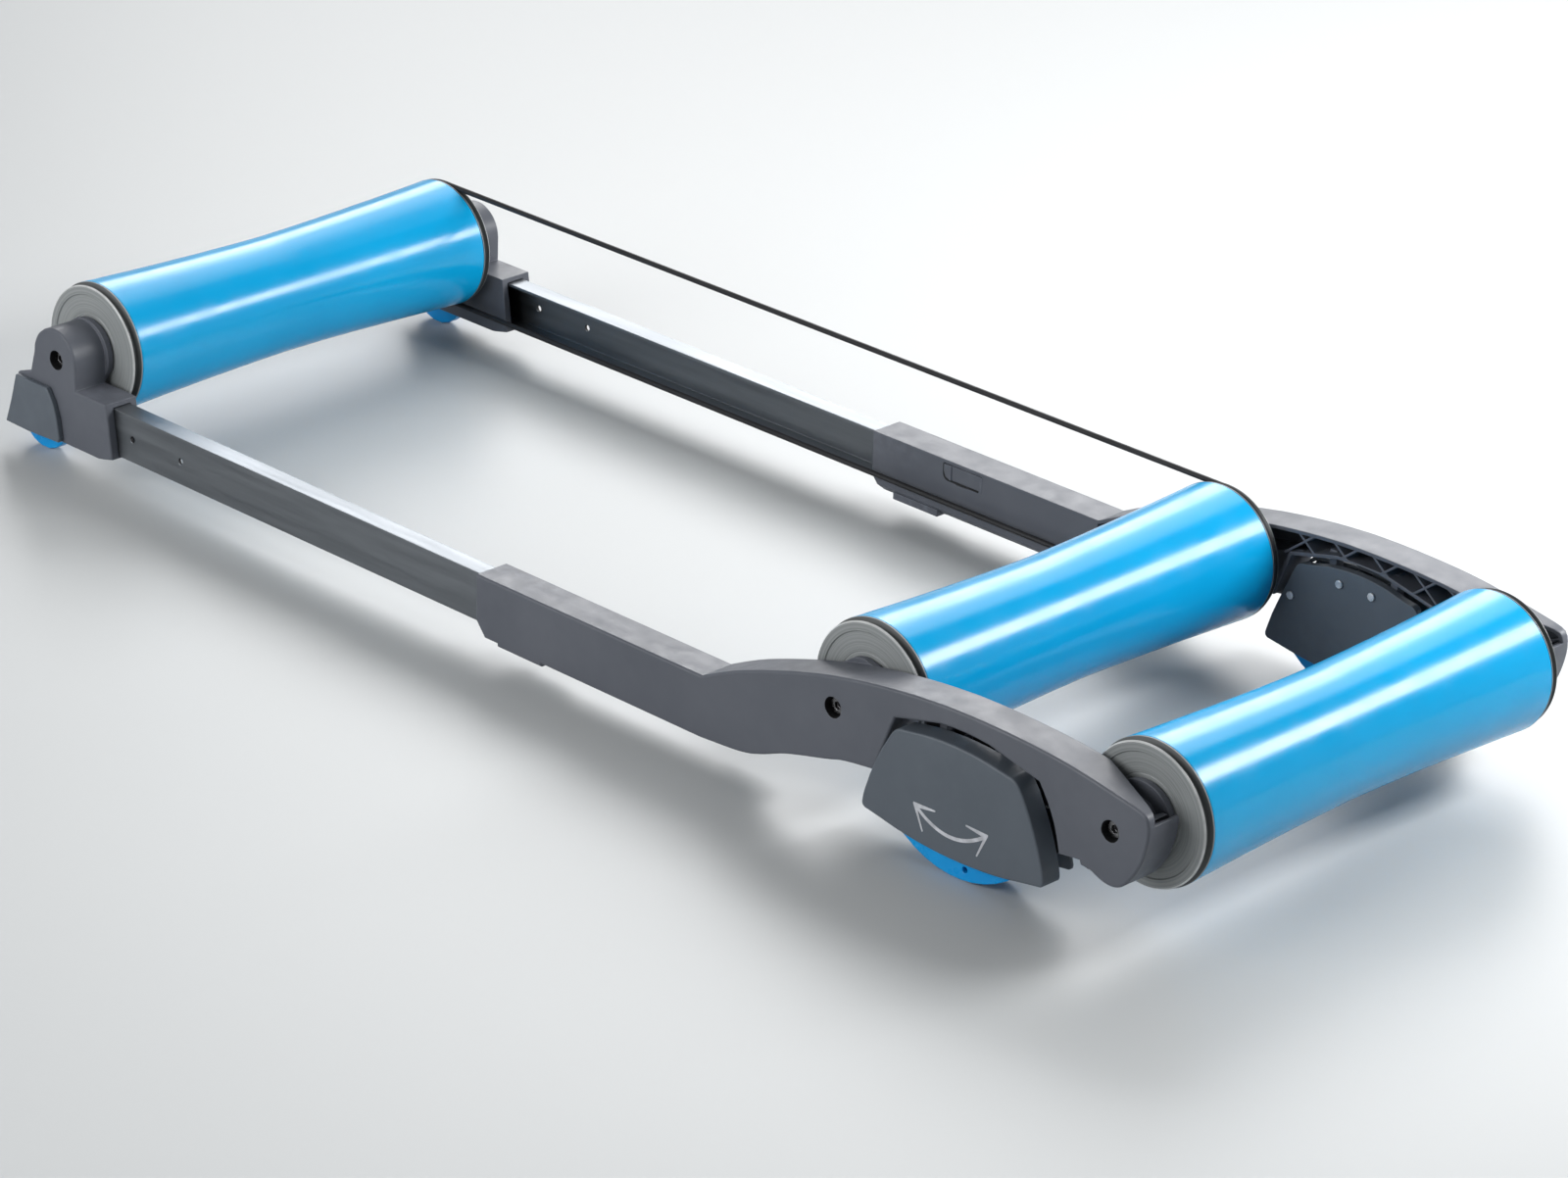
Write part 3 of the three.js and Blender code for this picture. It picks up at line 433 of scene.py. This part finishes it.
def level(edge):
    """Whether an edge keeps its y and is long enough to be bent."""
    one, two = edge.verts
    return abs(one.co.y - two.co.y) < LEVEL_SLACK and edge.calc_length() > SHORTEST_WALL


def flat_side(edge):
    return next((f for f in edge.link_faces if abs(f.normal.y) > SIDE_SHARE), None)


def beyond(edge, vert):
    """The far end of the edge that carries the curve on past a vertex, if there is one."""
    line = (edge.other_vert(vert).co - vert.co).normalized()
    for ahead in vert.link_edges:
        if ahead is not edge and level(ahead) and flat_side(ahead) is flat_side(edge):
            on = (ahead.other_vert(vert).co - vert.co).normalized()
            limit = RECESS_TURN if axle_distance(vert.co) < RECESS_SURROUND else FLOW_TURN
            if line.angle(-on, math.pi) < math.radians(limit):
                return ahead.other_vert(vert).co.copy()
    return None


def bowed_wall(face):
    """The two long edges of a wall across a profile, with the curve that replaces them."""
    if len(face.verts) != 4 or abs(face.normal.y) > WALL_SHARE:
        return None
    pair = sorted((e for e in face.edges if level(e)), key=lambda e: -abs(e.verts[0].co.y))
    if len(pair) != 2 or not all(len(e.link_faces) == 2 and flat_side(e) for e in pair):
        return None
    first, second = pair
    a, b = first.verts
    c = min(second.verts, key=lambda v: (v.co - a.co).length)
    d = second.other_vert(c)
    apart = sum(abs(q.co.x - p.co.x) + abs(q.co.z - p.co.z) for p, q in ((a, c), (b, d)))
    before, after = beyond(first, a), beyond(first, b)
    if apart > MATCH_SLACK or (before is None and after is None):
        return None
    chord = b.co - a.co
    size = chord.length
    to_a = a.co - before if before is not None else chord.copy()
    from_b = after - b.co if after is not None else chord.copy()
    lead = (chord / size ** 2 + to_a / to_a.length_squared).normalized() * size
    tail = (chord / size ** 2 + from_b / from_b.length_squared).normalized() * size
    bow = [hermite(a.co, lead, b.co, tail, k / (FLOW_CUTS + 1)) for k in range(1, FLOW_CUTS + 1)]
    return first, a, second, c, bow


def flowing(bm):
    """Bends the straight steps of side profiles into the curves that they stand for."""
    walls = [wall for wall in map(bowed_wall, bm.faces) if wall]
    for first, a, second, c, bow in walls:
        rows = []
        for edge, start in ((first, a), (second, c)):
            row, depth, end = [], start.co.y, edge.other_vert(start)
            for k in range(FLOW_CUTS):
                _, vert = bmesh.utils.edge_split(edge, start, 1 / (FLOW_CUTS + 1 - k))
                edge = next(e for e in vert.link_edges if e.other_vert(vert) is end)
                row.append(vert)
                start = vert
            rows.append(row)
            for vert, point in zip(row, bow):
                vert.co = (point.x, depth, point.z)
        for one, two in zip(*rows):
            shared = next((f for f in one.link_faces if f in two.link_faces), None)
            if shared is not None:
                bmesh.utils.face_split(shared, one, two)


# Rounding of the CAD shapes: vertices closer than the distance join, and so do faces that turn
# by less than the angle in degrees
JOIN_DISTANCE, FLAT_TURN = 2e-6, 0.4
EDGE_SEGMENTS, RIM_SEGMENTS = 2, 3
STEEL_EDGE = 0.0003


def softened(node, material, width, outer=None, flow=False, shaded=None, divide=None):
    """A CAD node's shape with its flat faces joined, its edges rounded and smooth shading.

    outer gives the |y| of the outer face and the wider rounding of its rim, flow bends the
    profile, shaded tells the points of faces painted with shade, and divide is a height that
    cuts the faces.
    """
    source = nodes[node]
    bm = bmesh.new()
    bm.from_mesh(source.data)
    bmesh.ops.remove_doubles(bm, verts=bm.verts, dist=JOIN_DISTANCE)
    bmesh.ops.dissolve_limit(bm, angle_limit=math.radians(FLAT_TURN), verts=bm.verts,
                             edges=bm.edges)
    if divide is not None:
        bmesh.ops.bisect_plane(bm, geom=bm.verts[:] + bm.edges[:] + bm.faces[:],
                               plane_co=(0, 0, divide), plane_no=(0, 0, 1))
    if flow:
        flowing(bm)
    weight = bm.edges.layers.float.new("bevel_weight_edge")
    layer, wide = outer or (None, width)
    for edge in bm.edges:
        if all(in_passage(v.co) for v in edge.verts):
            continue
        if len(edge.link_faces) == 2 and edge.calc_face_angle(0) > math.radians(CAD_SHARP):
            broad = layer and all(abs(abs(v.co.y) - layer) < MATCH_SLACK and has_room(v.co)
                                  for v in edge.verts)
            edge[weight] = 1.0 if broad else width / wide
    piece = finished("fine_" + node, bm, material, source["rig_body"], (node,), CAD_SHARP)
    bevel = piece.modifiers.new("edges", "BEVEL")
    bevel.limit_method = "WEIGHT"
    bevel.width = wide
    bevel.segments = RIM_SEGMENTS if outer else EDGE_SEGMENTS
    bevel.use_clamp_overlap = False
    bevel.loop_slide = False
    piece.modifiers.new("faces", "TRIANGULATE").min_vertices = 5
    piece.modifiers.new("normals", "WEIGHTED_NORMAL").keep_sharp = True
    # Faces whose corners all lie where shaded picks take the second material, a painted shade
    if shaded:
        piece.data.materials.append(SHADE)
        corners = piece.data.vertices
        for face in piece.data.polygons:
            if all(shaded(corners[i].co) for i in face.vertices):
                face.material_index = 1


# Drums: a waisted shell and a cap in each end, with a groove for the cord round each cap
DRUM_HALF, END_R, WAIST, WAIST_POWER, WALL = 0.1866, 0.055, 0.006, 1.5, 0.003
DRUM_STATIONS, INSIDE_STEP = 64, 8
END_EASE = 0.0006
GAP = 0.0003
GROOVE_DEPTH, GROOVE_HALF, GROOVE_SHOULDER = 0.005, 0.003, 0.0008
CORD_Y = DRUM_HALF + GAP + GROOVE_SHOULDER + GROOVE_HALF
GROOVE_MOUTH, GROOVE_BEVEL = 0.0029, (0.0004, 0.0003)
GROOVE_RISE, GROOVE_BOTTOM_HALF, GROOVE_EASE, GROOVE_STEPS = 0.0018, 0.0022, 0.00005, 8
CAP_FACE, CAP_BORE = 0.19506, 0.006
FIELD_DEPTH, RIM_INSET, RIM_WIDTH, RIM_EDGE = 0.0009, 0.0014, 0.008, 0.0011
SPIGOT_LENGTH, SPIGOT_WALL = 0.014, 0.003
SEAT_R, SEAT_DEPTH, SEAT_LIP = 0.0133, 0.0104, 0.0024
# Fine rings cut in the face of a cap: inner and outer radius, slope and depth
CAP_RINGS = ((0.0165, 0.0183, 0.0005, 0.0004), (0.0297, 0.0311, 0.0004, 0.0003))


def drum_radius(y):
    return END_R - WAIST * (1 - (abs(y) / DRUM_HALF) ** WAIST_POWER)


def make_drum(name, x):
    body = name + "_roller"
    ys = [DRUM_HALF * (2 * i / DRUM_STATIONS - 1) for i in range(DRUM_STATIONS + 1)]
    end_radius = drum_radius(DRUM_HALF)
    outside = [(drum_radius(y), y) for y in ys[1:-1]]
    outside = ([(end_radius - END_EASE, ys[0]), (end_radius, ys[0] + END_EASE)] + outside
               + [(end_radius, ys[-1] - END_EASE), (end_radius - END_EASE, ys[-1])])
    inside = [(drum_radius(y) - WALL, y) for y in reversed(ys[::INSIDE_STEP])]
    turned(name + "_drum", outside + inside, x, DRUM, body, (name + "_drum_shell",))
    for side, sign in SIDES:
        make_cap(f"{name}_cap_{side}", x, sign, body, CAPS[name], f"{name}_drum_cap_{side}")
        softened(f"{name}_drum_bearing_{side}", STEEL, STEEL_EDGE)


def make_cap(name, x, sign, body, material, node):
    rim, field = END_R - RIM_INSET, CAP_FACE - FIELD_DEPTH
    step, floor = rim - RIM_WIDTH, END_R - GROOVE_DEPTH
    spigot = drum_radius(DRUM_HALF - SPIGOT_LENGTH) - WALL - GAP
    ledge, spigot_end = DRUM_HALF + GAP, DRUM_HALF - SPIGOT_LENGTH
    rings = [point for inner, outer, slope, depth in CAP_RINGS
             for point in ((inner, field), (inner + slope, field - depth),
                           (outer - slope, field - depth), (outer, field))]
    edge = [(step, field), (step + FIELD_DEPTH, CAP_FACE), (rim - RIM_EDGE, CAP_FACE),
            (rim, CAP_FACE - RIM_EDGE), (rim, CORD_Y + GROOVE_MOUTH)]
    groove = [(floor + GROOVE_RISE * (1 - math.sin(turn)) + GROOVE_EASE,
               CORD_Y + GROOVE_BOTTOM_HALF * math.cos(turn))
              for turn in (math.pi * k / GROOVE_STEPS for k in range(1, GROOVE_STEPS))]
    far_side = CORD_Y - GROOVE_HALF
    back = [(END_R - GROOVE_BEVEL[0], far_side), (END_R, far_side - GROOVE_BEVEL[1]),
            (END_R, ledge), (spigot, ledge), (spigot, spigot_end),
            (spigot - SPIGOT_WALL, spigot_end), (SEAT_R, CAP_FACE - SEAT_DEPTH),
            (SEAT_R, CAP_FACE - SEAT_LIP), (CAP_BORE, CAP_FACE - SEAT_LIP)]
    profile = [(CAP_BORE, field)] + rings + edge + groove + back
    piece = turned(name, [(r, sign * y) for r, y in profile], x, material, body, (node,))
    piece.data.materials.append(GROOVE)
    piece.data.materials.append(RIM_HIGHLIGHT)
    # The groove's faces take a darker material as painted shade; a thin ring just inside the rim
    # takes a lighter one as a painted highlight
    groove_radii, groove_reach = (floor - 0.001, rim - 0.0002), GROOVE_HALF - 0.00005
    highlight_radii, highlight_from = (rim - 0.001, rim - 0.0001), CORD_Y + GROOVE_HALF
    for face in piece.data.polygons:
        radius = math.hypot(face.center.x - x, face.center.z - AXLE_Z)
        depth = abs(face.center.y)
        if groove_radii[0] < radius < groove_radii[1] and abs(depth - CORD_Y) < groove_reach:
            face.material_index = 1
        elif depth > highlight_from and highlight_radii[0] < radius < highlight_radii[1]:
            face.material_index = 2


# Belt: a round cord in the right-hand grooves of the front and middle drums.
CORD_R, CORD_SIDES = 0.00225, 12
BELT_TURN_STEPS, BELT_RUN_STEPS = 40, 60


def make_belt():
    loop = END_R - GROOVE_DEPTH + GAP + CORD_R
    line = []
    for end, x, other_x, way in ((0, MIDDLE_X, FRONT_X, 1), (1, FRONT_X, MIDDLE_X, -1)):
        for k in range(BELT_TURN_STEPS + 1):
            turn = math.pi * (k / BELT_TURN_STEPS + end - 0.5)
            out = Vector((math.cos(turn), 0, math.sin(turn)))
            line.append((Vector((x, CORD_Y, AXLE_Z)) + loop * out, out))
        out = Vector((0, 0, way))
        for k in range(1, BELT_RUN_STEPS):
            along = x + (other_x - x) * k / BELT_RUN_STEPS
            line.append((Vector((along, CORD_Y, AXLE_Z)) + loop * out, out))
    bm = bmesh.new()
    joined_rings(bm, [[bm.verts.new(point + CORD_R * (c * out + s * Vector((0, 1, 0))))
                       for c, s in directions(CORD_SIDES)] for point, out in line])
    piece = finished("belt_cord", bm, BELT, None, ("drive_belt",))
    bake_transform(piece)


# Slit round each lock tongue, drawn as a thin plate of painted shade, and the thin web at its
# root where it joins the sleeve
TONGUE_TIP, TONGUE_ROOT, TONGUE_TOP, TONGUE_LOW = -0.296, -0.257, -0.0248, -0.0373
TONGUE_CORNER, CORNER_STEPS = 0.0052, 8
SLIT_WIDTH, SLIT_END = 0.0017, 0.002
SLIT_RAISE, WEB_RAISE = 0.00018, 0.00024
WEB_BEFORE, WEB_BEHIND, WEB_BELOW = 0.0014, 0.0016, 0.001


def tongue_corner(reach):
    """The round corner at the tongue's tip, moved outwards by a distance."""
    start = Vector((TONGUE_TIP - reach, TONGUE_LOW + TONGUE_CORNER))
    end = Vector((TONGUE_TIP + TONGUE_CORNER, TONGUE_LOW - reach))
    control = Vector((TONGUE_TIP - reach, TONGUE_LOW - reach))
    return [tuple(quadratic(start, control, end, k / CORNER_STEPS))
            for k in range(CORNER_STEPS + 1)]


def make_tongue_surround(side, sign):
    body = nodes["arm_" + side]["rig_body"]
    slit_end = TONGUE_ROOT - SLIT_END
    slit = ([(TONGUE_TIP - SLIT_WIDTH, TONGUE_TOP)] + tongue_corner(SLIT_WIDTH)
            + [(slit_end, TONGUE_LOW - SLIT_WIDTH), (slit_end, TONGUE_LOW)]
            + list(reversed(tongue_corner(0))) + [(TONGUE_TIP, TONGUE_TOP)])
    # The slit is painted shade: a thin dark plate laid on the sleeve's inner face
    bm = plate_from(slit, sign, SLEEVE_FACE - SLIT_RAISE, SLEEVE_FACE, MIDDLE_X)
    finished("tongue_slit_painted_shade_" + side, bm, SHADE, body, ())
    before, behind = TONGUE_ROOT - WEB_BEFORE, TONGUE_ROOT + WEB_BEHIND
    low = TONGUE_LOW - WEB_BELOW
    web = [(before, TONGUE_TOP), (behind, TONGUE_TOP), (behind, low), (before, low)]
    bm = plate_from(web, sign, SLEEVE_FACE - WEB_RAISE, SLEEVE_FACE, MIDDLE_X)
    finished("tongue_web_" + side, bm, ARM, body, ())


# Print on each swing foot: a curved arrow with two heads for the way the foot rocks
ARROW_TIP, ARROW_CONTROL = (-0.036, -0.042), (-0.00125, -0.069)
ARROW_MIDDLE, ARROW_HALF_WIDTH = -0.00125, 0.0014
ARROW_INSET, ARROW_STEPS = 0.06, 24
HEAD_OVER = ((-0.0368, -0.0408), (-0.0162, -0.0404), (-0.0156, -0.0411), (-0.0163, -0.0417))
HEAD_UNDER = ((-0.0267, -0.0605), (-0.0274, -0.0612), (-0.0281, -0.0606), (-0.0371, -0.042))
INK_DEPTH, INK_RAISE = 0.0001, 0.00012


def mirrored(points):
    return [(2 * ARROW_MIDDLE - x, z) for x, z in reversed(points)]


def make_arrow(side, sign):
    tip, control = Vector(ARROW_TIP), Vector(ARROW_CONTROL)
    other = Vector((2 * ARROW_MIDDLE - tip.x, tip.y))
    upper, lower = [], []
    for k in range(ARROW_STEPS + 1):
        t = ARROW_INSET + (1 - 2 * ARROW_INSET) * k / ARROW_STEPS
        point = quadratic(tip, control, other, t)
        along = ((1 - t) * (control - tip) + t * (other - control)).normalized()
        across = Vector((-along.y, along.x)) * ARROW_HALF_WIDTH
        upper.append(tuple(point + across))
        lower.append(tuple(point - across))
    outline = (list(HEAD_OVER) + upper + mirrored(HEAD_OVER) + mirrored(HEAD_UNDER)
               + list(reversed(lower)) + list(HEAD_UNDER))
    bm = plate_from(outline, sign, COVER_FACE - INK_DEPTH, COVER_FACE + INK_RAISE, FOOT_X)
    finished("swing_arrow_" + side, bm, INK, nodes["foot_cover_" + side]["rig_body"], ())


# Every piece in turn.
photo_camera()
for drum, drum_x in (("front", FRONT_X), ("middle", MIDDLE_X), ("rear", REAR_X)):
    make_drum(drum, drum_x)
make_belt()
for side, sign in SIDES:
    # The bolt recesses in the arms are painted with shade
    softened(f"arm_{side}", ARM, width=0.0006, outer=(ARM_FACE, 0.0018),
             flow=True, shaded=in_recess)
    softened(f"lock_tongue_{side}", ARM, width=0.0004)
    # The walls of the rail holes are painted with shade
    softened(f"rail_{side}", RAIL, width=0.0004, shaded=in_rail_hole)
    make_tongue_surround(side, sign)
    # The bolt recesses in the brackets are painted with shade
    softened(f"front_bracket_{side}", ARM, width=0.0006,
             outer=(ARM_FACE, 0.0016), flow=True, shaded=in_recess)
    softened(f"front_foot_cover_{side}", COVER, width=0.0005,
             outer=(COVER_FACE, 0.0012))
    softened(f"foot_cover_{side}", COVER, width=0.0006,
             outer=(COVER_FACE, 0.0014), flow=True)
    softened(f"foot_plate_{side}", COVER, width=0.0005, flow=True)
    # The rocker's faces above the tread, up inside the cover, are painted with shade
    softened(f"foot_rocker_{side}", BLUE, width=0.0006,
             shaded=in_cover, divide=TREAD_TOP)
    softened(f"front_wheel_{side}", BLUE, width=0.0008)
    make_arrow(side, sign)
    for node in ("front_axle_bolt", "middle_axle_bolt", "rear_axle_bolt"):
        softened(f"{node}_{side}", BLACK, STEEL_EDGE)
    for node in ("front_wheel_pin", "foot_pin", "foot_screw_upper_front",
                 "foot_screw_upper_rear", "foot_screw_lower_front", "foot_screw_lower_rear"):
        softened(f"{node}_{side}", STEEL, STEEL_EDGE)
for node in ("front_axle", "middle_axle", "rear_axle"):
    softened(node, STEEL, STEEL_EDGE)


# Stage: a plain pale floor, soft lamps and a world that is pale low down and dim above
FLOOR_HALF, FLOOR_Z = 9.0, -0.0002
AIM = (0.1, 0, 0.1)


def make_floor():
    mesh = bpy.data.meshes.new("floor")
    corners = ((-1, -1), (1, -1), (1, 1), (-1, 1))
    mesh.from_pydata([(FLOOR_HALF * x, FLOOR_HALF * y, FLOOR_Z) for x, y in corners], [],
                     [(0, 1, 2, 3)])
    floor = bpy.data.objects.new("floor", mesh)
    scene.collection.objects.link(floor)
    material, _, shader = new_material("floor_pale", (0.48, 0.495, 0.5), roughness=0.42)
    shader.inputs["Specular IOR Level"].default_value = 0.3
    mesh.materials.append(material)


def make_world():
    world = bpy.data.worlds.new("pale_world")
    world.use_nodes = True
    scene.world = world
    tree = world.node_tree
    background = tree.nodes["Background"]
    split = add(tree, "ShaderNodeSeparateXYZ")
    tree.links.new(add(tree, "ShaderNodeTexCoord").outputs["Generated"], split.inputs[0])
    pale = ramp(tree, split.outputs["Z"], 0.6, 0.17, from_low=0.1, from_high=0.42)
    background.inputs["Color"].default_value = (0.94, 0.97, 1.0, 1)
    tree.links.new(pale, background.inputs["Strength"])


def lamp(name, place, width, height, power, aim=AIM):
    data = bpy.data.lights.new(name, "AREA")
    data.shape = "RECTANGLE"
    data.size, data.size_y = width, height
    data.energy = power
    light = bpy.data.objects.new(name, data)
    turn = (Vector(aim) - Vector(place)).to_track_quat("-Z", "Y").to_matrix().to_4x4()
    light.matrix_world = Matrix.Translation(place) @ turn
    light.visible_camera = False
    scene.collection.objects.link(light)


make_floor()
make_world()
lamp("key_softbox", (-4.6, 5.7, 3.7), width=4.6, height=2.7, power=310)
lamp("upper_softbox", (-2.4, 5.7, 5.6), width=4.6, height=3.0, power=140)
lamp("strip_softbox", (1.2, 1.5, 1.03), width=1.9, height=0.42, power=58, aim=(0.2, 1.5, 0.1))
lamp("near_softbox", (-0.9, -2.9, 1.4), width=2.6, height=2.0, power=74, aim=(0.1, 0, 0.06))
lamp("top_softbox", (-0.2, 1.0, 5.2), width=4.5, height=4.5, power=45)

scene.view_settings.view_transform = "Standard"
